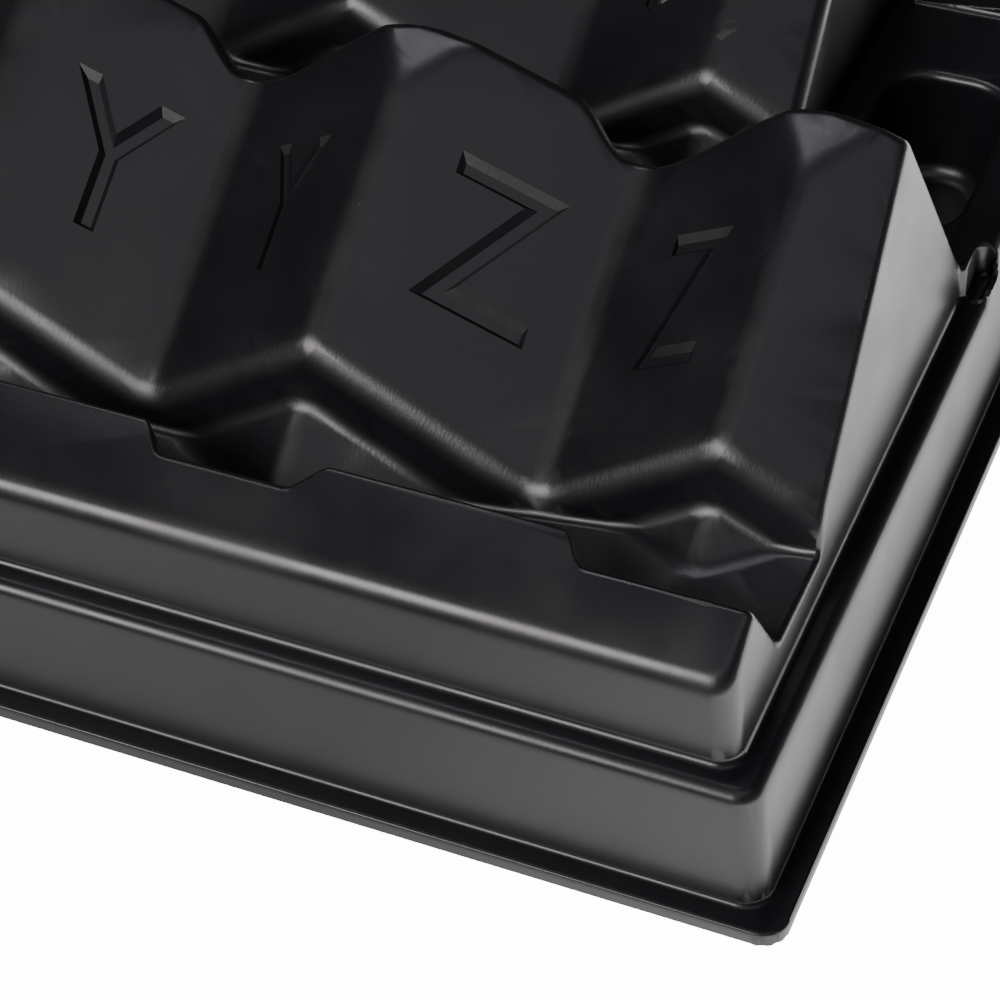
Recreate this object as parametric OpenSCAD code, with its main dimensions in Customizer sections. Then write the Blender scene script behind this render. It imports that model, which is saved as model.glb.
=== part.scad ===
// Card sorting tray: one thermoformed sheet with 26 sloping card beds in four
// staggered rows, finger channels in front of each row and a stepped skirt.
// Millimetres. X runs along the front edge, Y to the back, Z up.

/* [Layout] */
// Card slots in each row, front row first
row_slots = [7, 6, 7, 6];
// Width of one card slot along the row
slot_pitch = 108; // [90:0.5:130]
// Distance from the front of one row to the front of the next
row_pitch = 143; // [130:0.5:170]
// Thickness of the formed sheet
sheet = 3; // [2:0.1:5]
// Slant of every formed wall, sideways run per unit of height
draft = 0.119; // [0.03:0.005:0.2]
// Slant of the front wall below the beds
front_draft = 0.235; // [0.1:0.005:0.4]

/* [Rim and skirt] */
// Thickness of the trimmed rim at the table
rim_height = 4.5; // [3:0.1:8]
// Width of the flat rim outside the skirt
rim_width = 6.45; // [4:0.05:15]
// Corner radius of the rim
rim_radius = 7; // [3:0.5:15]
// Height of the ledge above the table
ledge_z = 36.6; // [25:0.1:60]
// Width of the ledge between the two skirt steps
ledge_width = 7.5; // [4:0.1:15]
// Corner radius at the foot of the lower skirt
skirt_radius = 6; // [4:0.5:12]

/* [Card beds] */
// Width of the gently sloping face that carries the cards
gentle_run = 63.5; // [50:0.5:80]
// Depth of the valley below the crest
bed_drop = 22; // [12:0.5:30]
// Rise of the beds towards the back, in degrees
bed_angle = 32.9; // [20:0.1:45]
// Height of the crest at the front of a bed
crest_z = 66; // [55:0.5:80]
// Distance from the front of a bed to its top back edge
bed_depth = 78; // [60:0.5:95]
// Fall behind the top back edge, in degrees
back_angle = 60.5; // [50:0.5:80]
// Distance from the front of a bed to the tip of its cut top
top_start = 60.4; // [40:0.5:75]
// Rise of the cut top towards the back, in degrees
top_angle = 19.1; // [0:0.1:30]
// Distance from the last crest to the foot of the end wall
end_reach = 29.5; // [15:0.5:40]

/* [Finger channels] */
// Height of the channel floor
floor_z = 40.3; // [38:0.1:50]
// Step down from a bed to the ridge in the channel
ridge_step = 11.7; // [5:0.1:20]
// Distance from the front of a row to the foot of the channel's front wall
channel_reach = 36.8; // [25:0.1:45]
// Height of the channel floor where it ends at the side wall
end_z = 46; // [41:0.1:55]
// Length of the ramp that lifts the channel floor to its end
end_ramp = 45; // [20:0.5:60]

/* [Front rail] */
// Distance from the front row to the foot of the rail's front wall
rail_reach = 68.25; // [55:0.05:90]
// Height of the rail at its front edge
rail_front_z = 58.5; // [50:0.1:70]
// Rise of the rail's face towards the back, in degrees
rail_angle = 26; // [0:0.5:40]
// Distance from the front row to the rail's back edge
rail_back = 40.45; // [38:0.05:60]

/* [Finger notches] */
// Left end of a notch from the crest it serves
notch_left = -3; // [-15:0.5:0]
// Right end of a notch from the crest it serves
notch_right = 24; // [15:0.5:40]
// Depth of a notch into the edge it cuts
notch_depth = 7.1; // [3:0.1:12]
// Sideways run of the notch's left flank
notch_flank = 17; // [4:0.5:25]
// Corner radius in a notch
notch_radius = 3.5; // [1:0.5:6]
// Slant of the notch floor, run per unit of height
notch_slant = 0.5; // [0.3:0.05:1]

/* [Side pockets] */
// Height of the flat beside the six-slot rows
flat_z = 46; // [41:0.1:55]
// Start of the flat from the front of its row, towards the front
flat_start = 31; // [20:0.5:40]
// Length of the flat
flat_length = 123; // [90:0.5:140]
// Width of a pocket
pocket_width = 38; // [25:0.5:45]
// Length of a pocket
pocket_length = 72; // [40:0.5:90]
// Distance from the tray's side to a pocket's edge
pocket_inset = 26; // [20:0.5:40]
// Start of a pocket from the front of its row, towards the front
pocket_start = 12.5; // [5:0.5:30]
// Height of a pocket's floor
pocket_floor = 8; // [5:0.5:30]
// Corner radius of a pocket
pocket_radius = 16; // [8:0.5:18]
// Width of the small recess at the front of each flat
recess_width = 5; // [3:0.5:6]
// Length of the small recess
recess_length = 14; // [6:0.5:20]

/* [Hidden] */
$fn = 48;
shell = [0.055, 0.055, 0.06];
far = 400;
overlap = 0.05;
flat_shy = 0.3;
corner_steps = 5;
rows = len(row_slots);
steep_run = slot_pitch - gentle_run;
slope = tan(bed_angle);
back_slope = tan(back_angle);
most_slots = max(row_slots);

// Half width and the front and back of the tray, then of each step above it
half_x = most_slots * slot_pitch / 2 + end_reach + ledge_width
       + draft * (ledge_z - rim_height) + rim_width;
foot_x = half_x - rim_width;
wall_x = foot_x - draft * (ledge_z - rim_height) - ledge_width;
row_front_y = function (r) r * row_pitch;
rail_foot_y = -rail_reach;
skirt_out = ledge_width + draft * (ledge_z - rim_height);
front_foot_y = rail_foot_y - skirt_out;
crest_back_z = crest_z + slope * bed_depth;
back_foot_y = row_front_y(rows - 1) + bed_depth + (crest_back_z - ledge_z) / back_slope;
rear_foot_y = back_foot_y + skirt_out;
front_y = front_foot_y - rim_width;
rear_y = rear_foot_y + rim_width;
mid_y = (front_y + rear_y) / 2;
low_z = ledge_z - 3 * sheet;
pocket_run = draft * (flat_z - pocket_floor);
recess_rise = flat_z - ledge_z + sheet;

// Height of the cut top, of the rail's face and of a wall's run at a height
function top_z(y) = crest_z + slope * top_start + tan(top_angle) * (y - top_start);
function rail_z(y) = rail_front_z
    + tan(rail_angle) * (y + rail_reach - draft * (rail_front_z - ledge_z));
function lean(z) = draft * (z - ledge_z);
function crest_x(r, k) = (k - row_slots[r] / 2) * slot_pitch;
function row_half(r) = row_slots[r] * slot_pitch / 2 + end_reach;

// Points of an arc about a centre
function arc(cx, cy, rad, from, to, steps = 6) =
    [for (i = [0 : steps]) let (a = from + (to - from) * i / steps)
        [cx + rad * cos(a), cy + rad * sin(a)]];

// Everything on the inner side of one slanted wall, which faces the direction
// turn and stands at the distance reach at its foot
module slanted_side(turn, reach, z0, z1, lean_by) {
    rotate([0, 0, turn]) rotate([90, 0, 0]) linear_extrude(6 * far, center = true)
        polygon([[-3 * far, z0], [reach, z0],
                 [reach - lean_by * (z1 - z0), z1], [-3 * far, z1]]);
}

// A block with slanted sides, its corners turned in flat steps that touch a
// circle. The foot is at z0 and the sides lean inwards by the draft, a
// negative draft leans them outwards.
module slanted_block(x0, x1, y0, y1, z0, z1, rad, lean_by) {
    walls = [[0, x1], [90, y1], [180, -x0], [270, -y0]];
    corners = [for (q = [0 : 3], i = [1 : corner_steps - 1])
        let (turn = 90 * (q + i / corner_steps),
             cx = q == 0 || q == 3 ? x1 - rad : x0 + rad,
             cy = q < 2 ? y1 - rad : y0 + rad)
            [turn, cx * cos(turn) + cy * sin(turn) + rad]];
    intersection_for(w = concat(walls, corners))
        slanted_side(w[0], w[1], z0, z1, lean_by);
}

// A flat outline drawn in Y and Z, drawn out along X
module side_profile(x0, x1, points) {
    translate([x0, 0, 0]) rotate([90, 0, 90]) linear_extrude(x1 - x0) polygon(points);
}

// The zigzag of crests and valleys of a row, drawn out along the slope. It
// passes through the crest height z at the distance y, set in by the sheet.
module zigzag(r, angle, y, z, set_in) {
    n = row_slots[r];
    dip = bed_drop * cos(angle);
    sink = set_in / cos(20);
    tops = [for (k = [0 : n]) each [
        [crest_x(r, k) - steep_run * (k == 0 ? 1 : 0), k == 0 ? -dip : 0],
        each (k == 0 ? [[crest_x(r, 0), 0]] : []),
        [crest_x(r, k) + gentle_run, -dip]]];
    translate([0, y, z]) rotate([angle, 0, 0]) rotate([90, 0, 0])
        translate([0, -sink, 0]) linear_extrude(2 * far, center = true)
            polygon(concat([[crest_x(r, 0) - steep_run, -far]], tops,
                           [[crest_x(r, n) + gentle_run, -far]]));
}

// Front wall, cut top and side walls that bound the beds of a row
module row_bounds(r, set_in) {
    side_profile(-half_x, half_x, [
        [-front_draft * (crest_z - low_z) + set_in, low_z],
        [front_draft * (top_z(0) - crest_z) + set_in, top_z(0) - set_in / cos(top_angle)],
        [row_pitch, top_z(row_pitch) - set_in / cos(top_angle)],
        [row_pitch, low_z]]);
}

// The two slanted end walls of a row. The widest rows reach past the wall of
// the upper skirt, which cuts them off.
module row_ends(r, set_in) {
    half = row_half(r) - set_in + (row_slots[r] == most_slots ? 2 * ledge_width : 0);
    top = top_z(row_pitch);
    translate([0, row_pitch, 0]) rotate([90, 0, 0]) linear_extrude(2 * row_pitch)
        polygon([[-half + lean(low_z), low_z], [half - lean(low_z), low_z],
                 [half - lean(top), top], [-half + lean(top), top]]);
}

// One row of card beds, its front at y = 0
module bed_row(r, set_in) {
    intersection() {
        zigzag(r, bed_angle, 0, crest_z, set_in);
        zigzag(r, -back_angle, bed_depth, crest_back_z, set_in);
        row_bounds(r, set_in);
        row_ends(r, set_in);
    }
}

// Ridges in the finger channel, the zigzag carried on a step lower
module channel_ridges(r, set_in) {
    intersection() {
        zigzag(r, bed_angle, 0, crest_z - ridge_step, set_in);
        side_profile(-half_x, half_x, [
            [-channel_reach - ledge_width, low_z], [-channel_reach - ledge_width, crest_z],
            [2 * sheet + set_in, crest_z], [2 * sheet + set_in, low_z]]);
        row_ends(r, set_in);
    }
}

// Ramps that lift the channel floor at both ends of the widest rows
module channel_ends(r, set_in) {
    edge = wall_x - set_in - lean(end_z);
    fall = (end_z - floor_z) / end_ramp;
    if (row_slots[r] == most_slots)
        for (side = [-1, 1])
            mirror([side < 0 ? 1 : 0, 0, 0]) translate([0, 2 * sheet, 0]) rotate([90, 0, 0])
                linear_extrude(channel_reach + ledge_width + 2 * sheet - set_in)
                    polygon([[edge - 2 * end_ramp, low_z],
                             [edge - 2 * end_ramp, end_z - set_in - 2 * end_ramp * fall],
                             [half_x, end_z - set_in + (half_x - edge) * fall],
                             [half_x, low_z]]);
}

// Front rail with its slanted face, its back wall falling to the channel
module front_rail(set_in) {
    drop_in = set_in / cos(rail_angle);
    reach = rail_reach + ledge_width;
    side_profile(-half_x, half_x, [
        [-reach, low_z], [-reach, rail_z(-reach) - drop_in],
        [-rail_back - set_in, rail_z(-rail_back - set_in) - drop_in],
        [-rail_back - set_in + draft * (rail_z(-rail_back) - low_z), low_z]]);
}

// Plan of a finger notch from its deepest edge at y = 0, open to the back
function notch_plan(set_in) =
    let (l = notch_left - set_in, r = notch_right + set_in, rr = notch_radius,
         d = notch_depth, f = notch_flank)
    concat([[l - f - rr, far / 8]], [[l - f - rr, d + set_in]],
           [for (i = [0 : 8]) let (t = i / 8)
               [l - f + f * t, (d + set_in * 0.5) * (1 + cos(180 * t)) / 2]],
           arc(r - rr, rr, rr, -90, 0), [[r, d]],
           arc(r + rr, d, rr, 180, 90), [[r + rr, far / 8]]);

// A finger notch: its floor falls to the back from the height z at y = 0
module finger_notch(x, y, z, set_in) {
    width = 2 * slot_pitch;
    intersection() {
        translate([x, y - set_in, 0]) linear_extrude(far) polygon(notch_plan(set_in));
        side_profile(x - width / 2, x + width / 2, [
            [y - set_in - notch_slant * far / 8, z + far / 8],
            [y - set_in + notch_slant * (z - low_z), low_z],
            [y + far, low_z], [y + far, z + far / 8]]);
    }
}

// Notches in the rail, one for each crest behind it
module rail_notches(set_in) {
    for (k = [0 : row_slots[0]])
        finger_notch(crest_x(0, k), -rail_back - notch_depth,
                     rail_z(-rail_back - notch_depth), set_in);
}

// Notches in the back edge of a row, one for each crest of the row behind it
module back_notches(r, set_in) {
    if (r + 1 < rows)
        for (k = [0 : row_slots[r + 1]])
            if (abs(crest_x(r + 1, k)) < row_half(r))
                finger_notch(crest_x(r + 1, k), bed_depth - notch_depth,
                             crest_back_z - bed_drop, set_in);
}

// Lower skirt up to the ledge
module lower_block(set_in) {
    slanted_block(-foot_x + set_in, foot_x - set_in,
                  front_foot_y + set_in, rear_foot_y - set_in,
                  set_in > 0 ? -1 : rim_height - overlap, ledge_z - set_in,
                  skirt_radius, draft);
}

// Raised flats beside the shorter rows, a hair inside the lower skirt's wall
module side_flats(set_in) {
    outer = foot_x - flat_shy - set_in;
    tuck = 2 * ledge_width - set_in;
    for (r = [0 : rows - 1], side = [0, 1])
        if (row_slots[r] < most_slots)
            mirror([side, 0, 0])
                translate([0, row_front_y(r) - flat_start + flat_length - set_in, 0])
                    rotate([90, 0, 0]) linear_extrude(flat_length - 2 * set_in)
                        polygon([[row_half(r) - tuck, low_z],
                                 [outer - draft * (low_z - rim_height), low_z],
                                 [outer - draft * (flat_z - set_in - rim_height),
                                  flat_z - set_in],
                                 [row_half(r) - tuck, flat_z - set_in]]);
}

// Deep pockets and small recesses in the side flats
module side_pockets(set_in) {
    for (r = [0 : rows - 1], side = [0, 1])
        if (row_slots[r] < most_slots)
            translate([0, row_front_y(r), 0]) mirror([side, 0, 0]) {
                x1 = half_x - pocket_inset - pocket_run + set_in;
                y1 = pocket_length - pocket_start - pocket_run + set_in;
                slanted_block(x1 - pocket_width + 2 * (pocket_run - set_in), x1,
                              y1 - pocket_length + 2 * (pocket_run - set_in), y1,
                              pocket_floor - set_in, flat_z + sheet,
                              pocket_radius - pocket_run, -draft);
                translate([wall_x + ledge_width / 2,
                           recess_length - flat_start - recess_width / 2,
                           ledge_z - set_in])
                    linear_extrude(recess_rise + set_in) polygon(concat(
                        [[-recess_width / 2 - set_in, -recess_length - sheet],
                         [recess_width / 2 + set_in, -recess_length - sheet]],
                        arc(0, 0, recess_width / 2 + set_in, 0, 180, 12)));
            }
}

// Everything above the ledge: channel floors, rail, ridges and card beds
module upper_block(set_in) {
    intersection() {
        slanted_block(-wall_x + set_in, wall_x - set_in,
                      rail_foot_y + set_in, back_foot_y - set_in,
                      low_z, crest_back_z + sheet, skirt_radius, draft);
        union() {
            translate([0, mid_y, floor_z - set_in - far / 2])
                cube([2 * half_x, rear_y - front_y, far], center = true);
            difference() {
                front_rail(set_in);
                rail_notches(set_in);
            }
            for (r = [0 : rows - 1]) translate([0, row_front_y(r), 0]) {
                channel_ridges(r, set_in);
                channel_ends(r, set_in);
                difference() {
                    bed_row(r, set_in);
                    back_notches(r, set_in);
                }
            }
        }
    }
}

// The formed shape as a solid, set in by the sheet for its underside
module formed_solid(set_in) {
    difference() {
        union() {
            lower_block(set_in);
            side_flats(set_in);
            upper_block(set_in);
        }
        side_pockets(set_in);
    }
}

// Flat rim all round, at the table
module rim() {
    slanted_block(-half_x, half_x, front_y, rear_y, 0, rim_height, rim_radius, 0);
}

module tray() {
    color(shell) translate([0, -mid_y, 0])
        difference() {
            union() {
                rim();
                formed_solid(0);
            }
            formed_solid(sheet);
        }
}

tray();
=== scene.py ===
import math
import bmesh
import bpy
import numpy as np
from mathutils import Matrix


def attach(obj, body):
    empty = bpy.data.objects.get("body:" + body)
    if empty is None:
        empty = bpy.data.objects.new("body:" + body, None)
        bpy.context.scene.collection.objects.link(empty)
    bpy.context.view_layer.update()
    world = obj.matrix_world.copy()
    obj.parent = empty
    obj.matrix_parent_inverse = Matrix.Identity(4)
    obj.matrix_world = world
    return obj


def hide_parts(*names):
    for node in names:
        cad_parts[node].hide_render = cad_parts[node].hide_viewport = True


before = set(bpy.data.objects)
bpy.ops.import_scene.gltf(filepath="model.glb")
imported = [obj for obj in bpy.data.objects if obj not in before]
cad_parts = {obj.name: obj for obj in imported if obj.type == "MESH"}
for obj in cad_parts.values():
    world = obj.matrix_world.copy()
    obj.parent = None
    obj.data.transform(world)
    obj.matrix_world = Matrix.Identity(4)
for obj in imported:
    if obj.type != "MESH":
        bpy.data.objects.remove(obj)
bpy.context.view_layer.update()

import openvdb
from mathutils import Vector

# Tray: one sheet of black plastic, drawn hot over a mould, so hollow below.
# A distance function in millimetres, negative inside, gives its shape. x is
# from the middle, y from the front row's beds, and rows count from the front.
pitch, row_pitch = 108.0, 143.0
slots = [7, 6, 7, 6]
draft, front_draft = 0.119, 0.235
lean = math.hypot(1, draft)
gentle_run, bed_drop = 63.5, 22.0
steep_run = pitch - gentle_run
bed_slope = math.tan(math.radians(32.9))
top_slope = math.tan(math.radians(19.1))
back_slope = math.tan(math.radians(60.5))
crest_z, bed_depth, top_start, end_reach = 66.0, 78.0, 60.4, 29.5
crest_back_z = crest_z + bed_slope * bed_depth
ridge_step, floor_z, front_floor, end_z, end_ramp = 11.7, 40.3, 33.0, 46.0, 45.0
ledge_z, ledge_width, rim_height, rim_width = 36.6, 7.5, 4.5, 6.45
rail_reach, rail_front_z, rail_back, rail_foot = 68.25, 58.5, 40.45, 36.0
rail_slope = math.tan(math.radians(26))
flat_z, flat_start, flat_length = 46.0, 31.0, 123.0
pocket_width, pocket_length, pocket_inset = 38.0, 72.0, 26.0
pocket_start, pocket_floor = 12.5, 8.0
wall_x = max(slots) * pitch / 2 + end_reach
foot_x = wall_x + ledge_width + draft * (ledge_z - rim_height)
half_x = foot_x + rim_width
back_y = (len(slots) - 1) * row_pitch + bed_depth + (crest_back_z - ledge_z) / back_slope
skirt_out = foot_x - wall_x
front_y, rear_y = -rail_reach - skirt_out - rim_width, back_y + skirt_out + rim_width
mid_y = (front_y + rear_y) / 2


def outer_edge(a, b, r):
    """Where both a and b hold, with a convex edge of radius r."""
    return np.minimum(-r, np.maximum(a, b)) + np.hypot(np.maximum(a + r, 0), np.maximum(b + r, 0))


def inner_edge(a, b, r):
    """Where a or b holds, with a concave fillet of radius r."""
    return np.maximum(r, np.minimum(a, b)) - np.hypot(np.maximum(r - a, 0), np.maximum(r - b, 0))


def zigzag(x, h, n, slope, r):
    """Saw teeth of n slots: h is the height above the crests, along a slope."""
    t = x / pitch + n / 2
    k = np.clip(np.floor(t + 0.5 * steep_run / pitch), 0, n)
    u = (t - k) * pitch
    g, s = bed_drop / gentle_run, bed_drop / steep_run
    valley = (u > gentle_run / 2) & (k < n)
    gentle = (h + g * u) / math.sqrt(1 + slope * slope + g * g)
    steep = (h - s * np.where(valley, u - pitch, u)) / math.sqrt(1 + slope * slope + s * s)
    return np.where(valley, inner_edge(gentle, steep, r), outer_edge(gentle, steep, r))


# Finger notches: each is given by where its left flank starts and ends, where
# its right flank starts and ends, both from a crest, and how far it cuts back.
rail_notch = (-22.6, -15.1, 17.0, 27.0, 7.1)
back_notch = (-12.0, 5.0, 12.0, 48.0, 11.0)


def soft_step(t):
    t = np.clip(t, 0, 1)
    return t * t * (3 - 2 * t)


def notch(x, n, shape, spread):
    """How far the edge is cut back at x. The last notch of the rail is open to its end."""
    left_out, left_in, right_in, right_out, depth = shape
    t = x / pitch + n / 2
    k = np.clip(np.round(t - 0.12), 0, n)
    u = (t - k) * pitch
    left = (u - left_out + spread) / (left_in - left_out)
    right = (right_out + spread - u) / (right_out - right_in)
    if shape is rail_notch:
        right = np.where(k == n, 1, right)
    return depth * soft_step(left) * soft_step(right)


# Rows of beds: sloping saw teeth that carry the cards, cut flatter at their
# tops, with steep backs. A lower ridge in front of them makes the channel.
tooth_edge, back_edge, cut_edge, rear_edge, front_edge, row_end_edge = 2.2, 3.0, 1.2, 3.2, 3.8, 3.5
ridge_edge, channel_fillet, channel_tuck, channel_front = 2.0, 2.2, 6.0, 50.0


def bed_row(x, y, z, r, spread):
    n = slots[r]
    top = zigzag(x, z - crest_z - bed_slope * y, n, bed_slope, tooth_edge)
    shift = notch(x, slots[r + 1], back_notch, spread) if r + 1 < len(slots) else 0
    back_h = z - crest_back_z + back_slope * (y + shift - bed_depth)
    back = zigzag(x, back_h, n, back_slope, back_edge)
    cut = z - crest_z - bed_slope * top_start - top_slope * (y - top_start)
    front = -(y + front_draft * (crest_z - z)) / math.hypot(1, front_draft)
    f = outer_edge(top, cut / math.hypot(1, top_slope), cut_edge)
    f = outer_edge(outer_edge(f, back, rear_edge), front, front_edge)
    if n < max(slots):
        ends = (np.abs(x) - (n * pitch / 2 + end_reach) + draft * (z - ledge_z)) / lean
        f = outer_edge(f, ends, row_end_edge)
    ridge = zigzag(x, z - crest_z + ridge_step - bed_slope * y, n, bed_slope, ridge_edge)
    f = inner_edge(f, np.maximum(ridge, y - channel_tuck), channel_fillet)
    if n == max(slots):
        fall = (end_z - floor_z) / end_ramp
        edge = wall_x - draft * (end_z - ledge_z)
        ramp = (z - end_z - fall * (np.abs(x) - edge)) / math.hypot(1, fall)
        in_channel = np.maximum(y - channel_tuck, -y - channel_front)
        f = inner_edge(f, np.maximum(ramp, in_channel), channel_fillet)
    return f


# Front rail: an inclined face with a rim behind it, from which a wall falls
# back into the front row's finger channel.
rail_edge = 1.8


def front_rail(x, y, z, spread):
    low_y = rail_reach - draft * (rail_front_z - ledge_z)
    face = (z - rail_front_z - rail_slope * (y + low_y)) / math.hypot(1, rail_slope)
    rim_y = -rail_back - notch(x, slots[0], rail_notch, spread)
    rim_z = rail_front_z + rail_slope * (rim_y + low_y)
    run = (-rail_foot - rim_y) / (rim_z - end_z)
    wall = (y - rim_y - run * (rim_z - z)) / np.hypot(1, run)
    return outer_edge(face, wall, rail_edge)


# The whole sheet: an upper block with the rows in it, on a lower block with a
# ledge, with raised flats, pockets and small recesses beside the short rows.
far, bed_middle, bed_near, rail_zone, front_floor_end = 1e3, 40.0, 115.0, -20.0, 20.0
floor_fillet, rail_fillet, wall_corner, wall_edge, foot_corner = 2.5, 2.0, 6.0, 1.6, 7.0
skirt_edge_more, skirt_edge_start, skirt_edge_fade = 2.0, -45.0, 15.0
ledge_edge, ledge_fillet, channel_inset = 3.4, 2.0, 5.0
flat_edge, flat_inset = 1.5, 15.0
pocket_corner, pocket_foot, pocket_mouth = 14.0, 5.0, 2.4
recess_half, recess_flare, recess_run, recess_front = 2.1, 0.1, 8.5, 3.0
recess_foot, recess_mouth = 1.2, 1.0
rim_corner, rim_edge, rim_fillet = 7.0, 0.8, 1.4
inside, hollow_drop = 3.8, 4.0


def block(x, y, z, half, y0, y1, foot, r):
    side = (np.abs(x) - half + draft * (z - foot)) / lean
    ends = (np.maximum(y0 - y, y - y1) + draft * (z - foot)) / lean
    return outer_edge(side, ends, r)


def card_area(x, y, z, spread):
    """Floor of the channels, rows of beds and front rail, without walls."""
    f = np.full_like(x, far)
    for r in range(len(slots)):
        row_y = y - r * row_pitch
        near = np.abs(row_y - bed_middle) < bed_near
        if near.any():
            f[near] = np.minimum(f[near], bed_row(x[near], row_y[near], z[near], r, spread))
    top = inner_edge(z - np.where(y < front_floor_end, front_floor, floor_z), f, floor_fillet)
    near = y < rail_zone
    if near.any():
        rail = front_rail(x[near], y[near], z[near], spread)
        top[near] = inner_edge(top[near], rail, rail_fillet)
    return top


def flat_beside_row(x, row_y, z, n):
    inner = n * pitch / 2 + end_reach - flat_inset
    middle = flat_length / 2 - flat_start
    ends = (np.abs(row_y - middle) - flat_length / 2 + draft * (z - flat_z)) / lean
    return np.maximum(outer_edge(z - flat_z, ends, flat_edge), inner - np.abs(x))


def side_pocket(x, row_y, z):
    grow = draft * (flat_z - z)
    middle_x = half_x - pocket_inset - pocket_width / 2
    middle_y = pocket_length / 2 - pocket_start
    px = (np.abs(np.abs(x) - middle_x) - pocket_width / 2 + grow) / lean
    py = (np.abs(row_y - middle_y) - pocket_length / 2 + grow) / lean
    return outer_edge(outer_edge(px, py, pocket_corner), pocket_floor - z, pocket_foot)


def arched_recess(x, row_y, z):
    ax = np.abs(x) - wall_x - ledge_width / 2
    along = row_y + flat_start
    ay = np.maximum(along - recess_run, 0)
    plan = np.where(along < recess_run, np.abs(ax), np.hypot(ax, ay))
    sides = plan - recess_half - recess_flare * (z - ledge_z)
    return np.maximum(outer_edge(sides, ledge_z - z, recess_foot), -along - recess_front)


def formed(x, y, z, spread=0.0):
    top = card_area(x, y, z, spread)
    walls = block(x, y, z, wall_x, -rail_reach, back_y, ledge_z, wall_corner)
    at_front = np.clip((skirt_edge_start - y) / skirt_edge_fade, 0, 1)
    upper = outer_edge(walls, top, wall_edge + skirt_edge_more * at_front)
    level = z - ledge_z
    short_rows = [r for r in range(len(slots)) if slots[r] < max(slots)]
    for r in short_rows:
        level = inner_edge(level, flat_beside_row(x, y - r * row_pitch, z, slots[r]), flat_edge)
    skirt = block(x, y, z, foot_x, -rail_reach - skirt_out, back_y + skirt_out, rim_height, foot_corner)
    f = inner_edge(outer_edge(skirt, level, ledge_edge), upper, ledge_fillet)
    f = np.maximum(f, np.minimum(top, -channel_inset - walls))
    for r in short_rows:
        f = outer_edge(f, -side_pocket(x, y - r * row_pitch, z), pocket_mouth)
        f = outer_edge(f, -arched_recess(x, y - r * row_pitch, z), recess_mouth)
    return f


def whole(x, y, z):
    """The outside, with the flat trimmed rim at its foot."""
    plan = outer_edge(np.abs(x) - half_x, np.maximum(front_y - y, y - rear_y), rim_corner)
    rim = outer_edge(plan, z - rim_height, rim_edge)
    return np.maximum(inner_edge(formed(x, y, z), rim, rim_fillet), -z)


def underside(x, y, z):
    """The hollow: its notches are wider, so that the sheet keeps its thickness."""
    return np.maximum(formed(x, y, z, spread=3.0) + inside, -z - hollow_drop)


# Its mesh: the distances are sampled, finely only near the surface, and turned
# into a mesh. Its corners are then settled on the surface and its edges split
# where they leave it or bend.
cells, reach, at_once, above = 8, 1.25, 1500, 118.0


def surface(shape, name, step, adaptivity, rounds, limits=(0.05, 14.0, 0.7)):
    band = 3 * step
    lo = np.array([-half_x - band, front_y - band, -band - hollow_drop])
    hi = np.array([half_x + band, rear_y + band, above])
    n = (np.ceil((hi - lo) / step / cells).astype(int)) * cells
    grid = np.empty(n, np.float32)
    middle = [lo[i] + step * (cells * np.arange(n[i] // cells) + (cells - 1) / 2) for i in range(3)]
    cx, cy, cz = np.meshgrid(*middle, indexing="ij")
    coarse = shape(cx.ravel(), cy.ravel(), cz.ravel()).reshape(cx.shape)
    grid[:] = np.clip(coarse, -band, band).repeat(cells, 0).repeat(cells, 1).repeat(cells, 2)
    blocks = np.argwhere(np.abs(coarse) < cells * step * reach)
    sub = np.stack(np.meshgrid(*[np.arange(cells)] * 3, indexing="ij"), -1).reshape(-1, 3)
    for part in np.array_split(blocks, max(1, len(blocks) // at_once)):
        at = (part[:, None, :] * cells + sub[None]).reshape(-1, 3)
        p = (lo + at * step).astype(np.float32)
        grid[at[:, 0], at[:, 1], at[:, 2]] = np.clip(shape(*p.T), -band, band)
    vdb = openvdb.FloatGrid(band)
    vdb.copyFromArray(grid, tolerance=0.0)
    pts, tris, quads = vdb.convertToPolygons(isovalue=0.0, adaptivity=adaptivity)
    q = np.asarray(quads).astype(int).reshape(-1, 4)
    tri = np.asarray(tris).astype(int).reshape(-1, 3)
    tri = np.concatenate([tri, q[:, [0, 1, 2]], q[:, [0, 2, 3]]])
    p = settle(shape, lo + np.asarray(pts, float) * step, 0.5 * step)
    for _ in range(rounds):
        p, tri = split_bent(shape, p, tri, *limits)
    mesh = mesh_of(name, p, tri)
    mesh.validate()
    return mesh


def mesh_of(name, p, tri):
    mesh = bpy.data.meshes.new(name)
    mesh.from_pydata(((p - [0, mid_y, 0]) / 1000).tolist(), [], tri.tolist())
    return mesh


def steepest(shape, p, nudge=0.02):
    """Distance and its gradient at the points p."""
    f = shape(*p.T)
    return f, np.stack([shape(*(p + d).T) - f for d in np.eye(3) * nudge], 1) / nudge


def settle(shape, p, most):
    """Moves the points onto the surface, each by no more than most a time."""
    for _ in range(2):
        f, g = steepest(shape, p)
        move = -(f / np.maximum((g * g).sum(1), 0.3))[:, None] * g
        p = p + move * np.minimum(1, most / np.maximum(np.linalg.norm(move, axis=1, keepdims=True), 1e-9))
    return p


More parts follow.
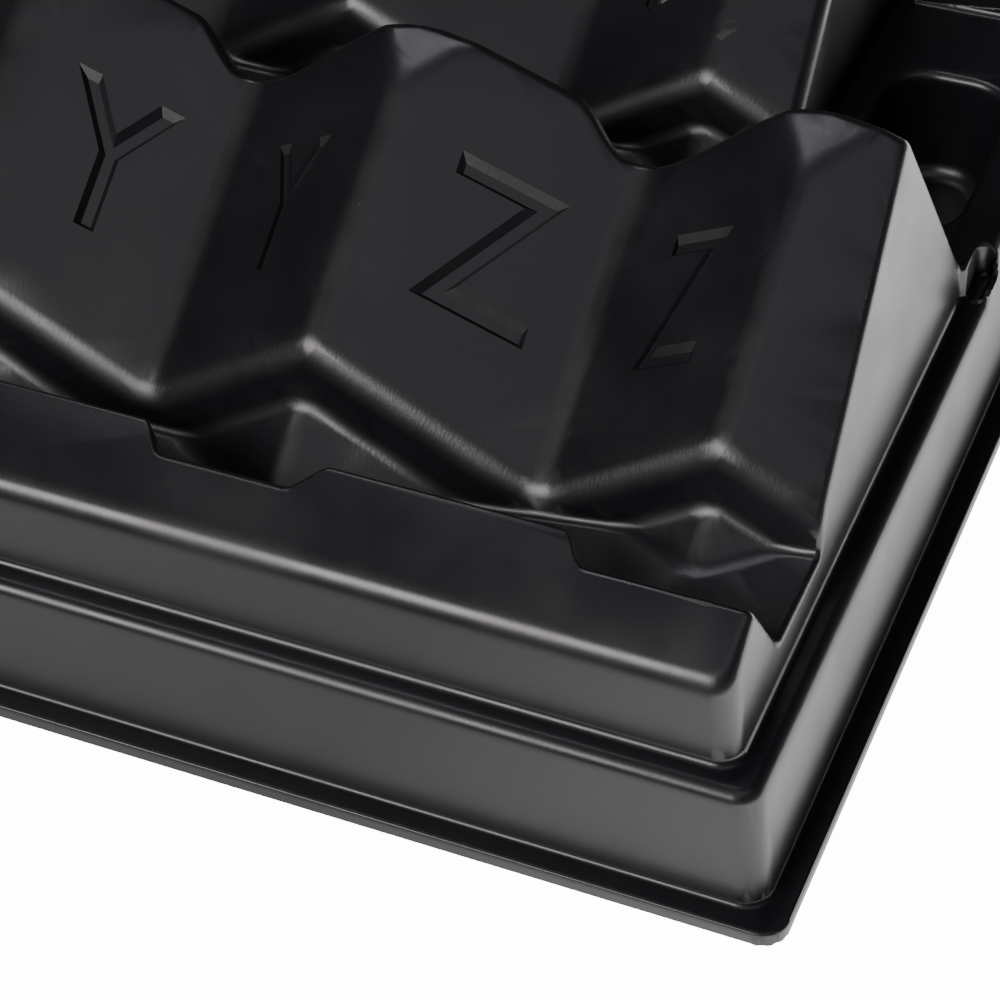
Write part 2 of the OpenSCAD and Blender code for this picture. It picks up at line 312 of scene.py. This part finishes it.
def split_bent(shape, p, tri, tol, turn, shortest):
    """Splits the edges whose middle is off by tol, or whose ends turn by more than turn degrees."""
    edges = np.sort(np.concatenate([tri[:, [0, 1]], tri[:, [1, 2]], tri[:, [2, 0]]]), axis=1)
    key, back = np.unique(edges[:, 0] * len(p) + edges[:, 1], return_inverse=True)
    a, b = key // len(p), key % len(p)
    side = back.reshape(3, -1)
    _, n = steepest(shape, p)
    n /= np.maximum(np.linalg.norm(n, axis=1, keepdims=True), 1e-9)
    middle = (p[a] + p[b]) / 2
    long = np.linalg.norm(p[a] - p[b], axis=1)
    turned = (n[a] * n[b]).sum(1) < math.cos(math.radians(turn))
    bent = (turned | (np.abs(shape(*middle.T)) > tol)) & (long > shortest)
    number = np.full(len(key), -1)
    number[bent] = len(p) + np.arange(bent.sum())
    p = np.concatenate([p, settle(shape, middle[bent], 1.0)])
    m = number[side]
    made = []
    t0, t1, t2 = tri.T
    many = (m >= 0).sum(0)
    made.append(tri[many == 0])
    k = many == 3
    x, y, z = m[:, k]
    made += [np.stack(v, 1) for v in ((t0[k], x, z), (x, t1[k], y), (z, y, t2[k]), (x, y, z))]
    for turn_by in range(3):
        c = [(t0, t1, t2)[(turn_by + q) % 3] for q in range(3)]
        e = [m[(turn_by + q) % 3] for q in range(3)]
        k = (many == 1) & (e[0] >= 0)
        made += [np.stack((c[0][k], e[0][k], c[2][k]), 1), np.stack((e[0][k], c[1][k], c[2][k]), 1)]
        k = (many == 2) & (e[0] >= 0) & (e[1] >= 0)
        made += [np.stack((e[0][k], c[1][k], e[1][k]), 1),
                 np.stack((c[0][k], e[0][k], e[1][k]), 1),
                 np.stack((c[0][k], e[1][k], c[2][k]), 1)]
    return p, np.concatenate(made)


# The outside is split finely where it bends and thinned out where it is flat.
# The coarser underside is then taken out of it, so the sheet is closed.
wanted_faces = 92000
rounds = 2
outside = surface(whole, "tray_shell", step=2.2, adaptivity=0.06, rounds=rounds)
body = bpy.data.objects.new("tray_shell", outside)
bpy.context.scene.collection.objects.link(body)
thin = body.modifiers.new("thin", "DECIMATE")
thin.ratio = wanted_faces / len(body.data.polygons)


def bake(obj):
    dg = bpy.context.evaluated_depsgraph_get()
    made = bpy.data.meshes.new_from_object(obj.evaluated_get(dg), depsgraph=dg)
    obj.modifiers.clear()
    obj.data = made


def corners(mesh):
    v = np.empty(len(mesh.vertices) * 3, np.float32)
    mesh.vertices.foreach_get("co", v)
    return v.reshape(-1, 3).astype(float) * 1000 + [0, mid_y, 0]


bake(body)
thinned = body.data
tri = np.empty(len(thinned.polygons) * 3, np.int32)
thinned.polygons.foreach_get("vertices", tri)
p = settle(whole, corners(thinned), 0.4)
p, tri = split_bent(whole, p, tri.reshape(-1, 3).astype(int), 0.2, 16.0, 1.5)
body.data = mesh_of("tray_shell", p, tri)
hollow_mesh = surface(underside, "hollow", step=3.2, adaptivity=0.3, rounds=3, limits=(0.7, 180.0, 1.5))
hollow = bpy.data.objects.new("hollow", hollow_mesh)
bpy.context.scene.collection.objects.link(hollow)
cut = body.modifiers.new("hollow", "BOOLEAN")
cut.operation, cut.solver, cut.object = "DIFFERENCE", "MANIFOLD", hollow

bake(body)
bpy.data.objects.remove(hollow)

# Finish of the sheet: black plastic with a soft sheen that varies a little,
# and fine marks of the mould's tooling. The colour is the same all over.
sheet_look = bpy.data.materials.new("black_sheet")
sheet_look.use_nodes = True
nt = sheet_look.node_tree
bsdf = nt.nodes["Principled BSDF"]
bsdf.inputs["Base Color"].default_value = (0.0062, 0.0058, 0.0078, 1)
bsdf.inputs["IOR"].default_value = 1.5
place = nt.nodes.new("ShaderNodeTexCoord").outputs["Object"]


def mottle(scale, detail, stretch):
    mapped = nt.nodes.new("ShaderNodeMapping")
    mapped.inputs["Scale"].default_value = stretch
    nt.links.new(place, mapped.inputs["Vector"])
    made = nt.nodes.new("ShaderNodeTexNoise")
    made.inputs["Scale"].default_value, made.inputs["Detail"].default_value = scale, detail
    nt.links.new(mapped.outputs[0], made.inputs["Vector"])
    return made.outputs[0]


sheen = nt.nodes.new("ShaderNodeMapRange")
for name, value in (("From Min", 0.35), ("From Max", 0.65), ("To Min", 0.29), ("To Max", 0.37)):
    sheen.inputs[name].default_value = value
nt.links.new(mottle(40.0, 4.0, (1, 1, 1)), sheen.inputs["Value"])
nt.links.new(sheen.outputs[0], bsdf.inputs["Roughness"])
marks = nt.nodes.new("ShaderNodeBump")
marks.inputs["Strength"].default_value = 0.3
marks.inputs["Distance"].default_value = 0.0001
nt.links.new(mottle(900.0, 2.0, (1.6, 0.35, 0.6)), marks.inputs["Height"])
nt.links.new(marks.outputs[0], bsdf.inputs["Normal"])

# Index letters: grooves with slanted walls, formed with the sheet. Each letter
# has one closed cutter, widest at its middle, that is taken out of the sheet.
letters = bpy.data.collections.new("letters")
bpy.context.scene.collection.children.link(letters)
cap_height, cap_share, groove, thinner, weld = 34.0, 0.729, 1.5, 0.95, 2e-6
for sign in "ABCDEFGHIJKLMNOPQRSTUVWXYZ":
    words = bpy.data.curves.new("letter_" + sign, "FONT")
    words.body, words.align_x, words.resolution_u = sign, "LEFT", 6
    words.size = cap_height / cap_share
    words.offset, words.bevel_depth, words.bevel_resolution = -thinner, groove, 0
    shape = bpy.data.objects.new("letter_" + sign, words)
    bpy.context.scene.collection.objects.link(shape)
    dg = bpy.context.evaluated_depsgraph_get()
    mesh = bpy.data.meshes.new_from_object(shape.evaluated_get(dg), depsgraph=dg)
    bpy.data.objects.remove(shape)
    v = np.empty(len(mesh.vertices) * 3, np.float32)
    mesh.vertices.foreach_get("co", v)
    v = v.reshape(-1, 3)
    v -= (v.min(0) + v.max(0)) / 2
    v /= 1000
    mesh.vertices.foreach_set("co", v.ravel())
    bm = bmesh.new()
    bm.from_mesh(mesh)
    bmesh.ops.remove_doubles(bm, verts=bm.verts, dist=weld)
    bmesh.ops.recalc_face_normals(bm, faces=bm.faces)
    bm.to_mesh(mesh)
    bm.free()
    letters.objects.link(bpy.data.objects.new("letter_" + sign, mesh))

# Rule for a row of letters: they stand one slot pitch apart, follow the slope
# of the face that they are cut into, and are taken out of the sheet.
rule = bpy.data.node_groups.new("row_of_letters", "GeometryNodeTree")


def socket(name, kind, way="INPUT"):
    return rule.interface.new_socket(name, in_out=way, socket_type=kind)


socket("Geometry", "NodeSocketGeometry")
named = {name: socket(name, kind).identifier for name, kind in (
    ("Letters", "NodeSocketCollection"), ("First letter", "NodeSocketInt"), ("Count", "NodeSocketInt"),
    ("Start", "NodeSocketVector"), ("Slot pitch", "NodeSocketFloat"), ("Stretch", "NodeSocketVector"),
    ("Side slope", "NodeSocketFloat"), ("Back slope", "NodeSocketFloat"), ("Sheet", "NodeSocketMaterial"))}
socket("Geometry", "NodeSocketGeometry", "OUTPUT")
nodes, join = rule.nodes, rule.links.new


def node(kind, **inputs):
    made = nodes.new(kind)
    for name, value in inputs.items():
        put = made.inputs[name.replace("_", " ")]
        if isinstance(value, bpy.types.NodeSocket):
            join(value, put)
        else:
            put.default_value = value
    return made


def maths(way, a, b=0.0):
    made = nodes.new("ShaderNodeMath")
    made.operation = way
    for k, value in enumerate((a, b)):
        if isinstance(value, bpy.types.NodeSocket):
            join(value, made.inputs[k])
        else:
            made.inputs[k].default_value = value
    return made.outputs[0]


given = nodes.new("NodeGroupInput").outputs
step = node("ShaderNodeCombineXYZ", X=given["Slot pitch"])
line = node("GeometryNodeMeshLine", Count=given["Count"], Start_Location=given["Start"],
            Offset=step.outputs[0])
family = node("GeometryNodeCollectionInfo", Collection=given["Letters"], Separate_Children=True,
              Reset_Children=True)
which = maths("ADD", nodes.new("GeometryNodeInputIndex").outputs[0], given["First letter"])
placed = node("GeometryNodeInstanceOnPoints", Points=line.outputs[0], Instance=family.outputs[0],
              Pick_Instance=True, Instance_Index=which, Scale=given["Stretch"])
real = node("GeometryNodeRealizeInstances", Geometry=placed.outputs[0])
spot = node("ShaderNodeSeparateXYZ", Vector=nodes.new("GeometryNodeInputPosition").outputs[0])
start = node("ShaderNodeSeparateXYZ", Vector=given["Start"])
half_slot = maths("MULTIPLY", given["Slot pitch"], 0.5)
from_start = maths("SUBTRACT", spot.outputs[0], start.outputs[0])
along = maths("FLOORED_MODULO", maths("ADD", from_start, half_slot), given["Slot pitch"])
side = maths("MULTIPLY", maths("SUBTRACT", along, half_slot), given["Side slope"])
back = maths("MULTIPLY", maths("SUBTRACT", spot.outputs[1], start.outputs[1]), given["Back slope"])
lift = node("ShaderNodeCombineXYZ", Z=maths("ADD", side, back))
sloped = node("GeometryNodeSetPosition", Geometry=real.outputs[0], Offset=lift.outputs[0])
taken = nodes.new("GeometryNodeMeshBoolean")
taken.operation, taken.solver = "DIFFERENCE", "MANIFOLD"
join(given["Geometry"], taken.inputs[0])
join(sloped.outputs[0], taken.inputs[1])
whole_again = node("GeometryNodeRealizeInstances", Geometry=taken.outputs[0])
dressed = node("GeometryNodeSetMaterial", Geometry=whole_again.outputs[0], Material=given["Sheet"])
join(dressed.outputs[0], nodes.new("NodeGroupOutput").inputs[0])

# Letters of each row, on the gentle and on the steep face of every slot.
# Each face gives its signed run, the middle of the letter on it from the crest
# that it falls from, the slot's shift to that crest, and the letter's stretch.
proud = 0.04
faces = ((gentle_run, 34.3, 38.2, 0, (1, 1, 1)), (-steep_run, -22.0, 36.5, pitch, (0.5, 0.92, 1)))
first = 0
for r in reversed(range(len(slots))):
    for run, u, v, shift, stretch in faces:
        middle_x = -slots[r] * pitch / 2 + u + shift
        middle_z = crest_z + bed_slope * v - u * bed_drop / run + proud
        rows = body.modifiers.new("letters", "NODES")
        rows.node_group = rule
        for name, value in (
                ("Letters", letters), ("First letter", first), ("Count", slots[r]),
                ("Start", (middle_x / 1000, (r * row_pitch + v - mid_y) / 1000, middle_z / 1000)),
                ("Slot pitch", pitch / 1000), ("Stretch", stretch), ("Side slope", -bed_drop / run),
                ("Back slope", bed_slope), ("Sheet", sheet_look)):
            rows[named[name]] = value
    first += slots[r]
bake(body)
bpy.data.collections.remove(letters)

# Shading directions: on the outside they follow the distance function, so
# the wide flat faces and the soft edges meet without a ripple.
mesh = body.data


def column(elements, name, width, kind):
    values = np.empty(len(elements) * width, kind)
    elements.foreach_get(name, values)
    return values.reshape(-1, width) if width > 1 else values


co = corners(mesh)
centre = column(mesh.polygons, "center", 3, np.float32).astype(float) * 1000 + [0, mid_y, 0]
facing = column(mesh.polygons, "normal", 3, np.float32)
size = column(mesh.polygons, "area", 1, np.float32)
corner = column(mesh.loops, "vertex_index", 1, np.int32)
owner = np.repeat(np.arange(len(centre)), column(mesh.polygons, "loop_total", 1, np.int32))


def slope_at(shape, p):
    f, g = steepest(shape, p)
    return f, g / np.maximum(np.linalg.norm(g, axis=1, keepdims=True), 1e-9)


on_outside, on_underside, alike, foot = 0.28, 0.9, 0.6, 0.2
wide_area, end_start, bent_angle = 4e-6, max(slots) * pitch / 2 + 5, math.radians(10)
f_c, g_c = slope_at(whole, centre)
_, g_v = slope_at(whole, co)
outer = (np.abs(f_c) < on_outside) & ((g_c * facing).sum(1) > alike) & (centre[:, 2] > foot)
f_i, g_i = slope_at(formed, centre)
_, i_v = slope_at(formed, co)
inner = ~outer & (np.abs(f_i + inside) < on_underside) & ((g_i * facing).sum(1) < -alike)
normal = facing[owner].copy()
use = outer[owner]
normal[use] = g_v[corner[use]]
wide = use & (size[owner] > wide_area) & (np.abs(centre[owner, 0]) > end_start)
wide &= (g_v[corner] * g_c[owner]).sum(1) < math.cos(bent_angle)
normal[wide] = g_c[owner[wide]]
use = inner[owner]
normal[use] = -i_v[corner[use]]
mesh.shade_smooth()
mesh.normals_split_custom_set(normal.tolist())

mesh.materials.clear()
mesh.materials.append(sheet_look)
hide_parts("tray")
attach(body, "root")

# Floor: the white ground of the photo. It glows though it is no lamp: for every ray but the camera's, its
# emission is painted light that rises towards the right. The tray's right side therefore mirrors a brighter
# floor than its front, and is lit by it. The camera is given a plain white.
bpy.ops.mesh.primitive_plane_add(size=12, location=(0, 0, 0))
floor = bpy.context.object
floor.name = "floor"
floor_look = bpy.data.materials.new("floor")
floor_look.use_nodes = True
ground = floor_look.node_tree.nodes["Principled BSDF"].inputs
ground["Base Color"].default_value = (0.85, 0.85, 0.85, 1)
ground["Roughness"].default_value = 0.9
ground["Emission Color"].default_value = (1, 0.985, 0.98, 1)
across = floor_look.node_tree.nodes.new("ShaderNodeSeparateXYZ")
# Painted light: for non-camera rays, the floor's emission strength rises from 0.6 to 6 across x. It lights
# the tray and brightens the reflections in its right walls.
painted_floor_light = floor_look.node_tree.nodes.new("ShaderNodeMapRange")
for name, value in (("From Min", 0.3), ("From Max", 0.8), ("To Min", 0.6), ("To Max", 6.0)):
    painted_floor_light.inputs[name].default_value = value
seen = floor_look.node_tree.nodes.new("ShaderNodeMix")
seen.inputs["B"].default_value = 14.0
tie = floor_look.node_tree.links.new
tie(floor_look.node_tree.nodes.new("ShaderNodeTexCoord").outputs["Object"], across.inputs[0])
tie(across.outputs[0], painted_floor_light.inputs["Value"])
tie(floor_look.node_tree.nodes.new("ShaderNodeLightPath").outputs["Is Camera Ray"], seen.inputs["Factor"])
tie(painted_floor_light.outputs[0], seen.inputs["A"])
tie(seen.outputs[0], ground["Emission Strength"])
floor.data.materials.append(floor_look)

# Camera: fitted to the edges of the front right corner.
lens = bpy.data.cameras.new("camera")
lens.lens, lens.sensor_width, lens.clip_end = 106.2, 36.0, 50.0
camera = bpy.data.objects.new("camera", lens)
camera.location = (0.5427, -0.7320, 0.5367)
camera.rotation_euler = [math.radians(a) for a in (46.777, 1.803, 22.614)]
bpy.context.scene.collection.objects.link(camera)
bpy.context.scene.camera = camera


# Lights: soft panels in front, above and behind the top, and dim surroundings.
def panel(name, at, aim, size, power, tint=(1, 1, 1)):
    data = bpy.data.lights.new(name, "AREA")
    data.shape, data.size, data.size_y, data.energy, data.color = "RECTANGLE", size[0], size[1], power, tint
    lamp = bpy.data.objects.new(name, data)
    lamp.location = at
    lamp.rotation_euler = (Vector(aim) - Vector(at)).to_track_quat("-Z", "Y").to_euler()
    bpy.context.scene.collection.objects.link(lamp)
    return lamp


panel("front_panel", (-0.55, -2.1, 1.75), (0.2, -0.2, 0.05), (1.7, 0.7), 68, (1, 0.96, 0.94))
panel("ceiling", (0.85, -0.85, 2.3), (0.3, -0.1, 0.05), (1.8, 1.3), 5.5, (0.95, 0.94, 1))
panel("top_panel", (-0.3, 0.4, 1.95), (0.3, -0.1, 0.05), (0.7, 0.5), 7, (0.95, 0.94, 1))
world = bpy.data.worlds.new("world")
bpy.context.scene.world = world
world.use_nodes = True
world.node_tree.nodes["Background"].inputs["Color"].default_value = (0.9, 0.93, 1, 1)
world.node_tree.nodes["Background"].inputs["Strength"].default_value = 0.03
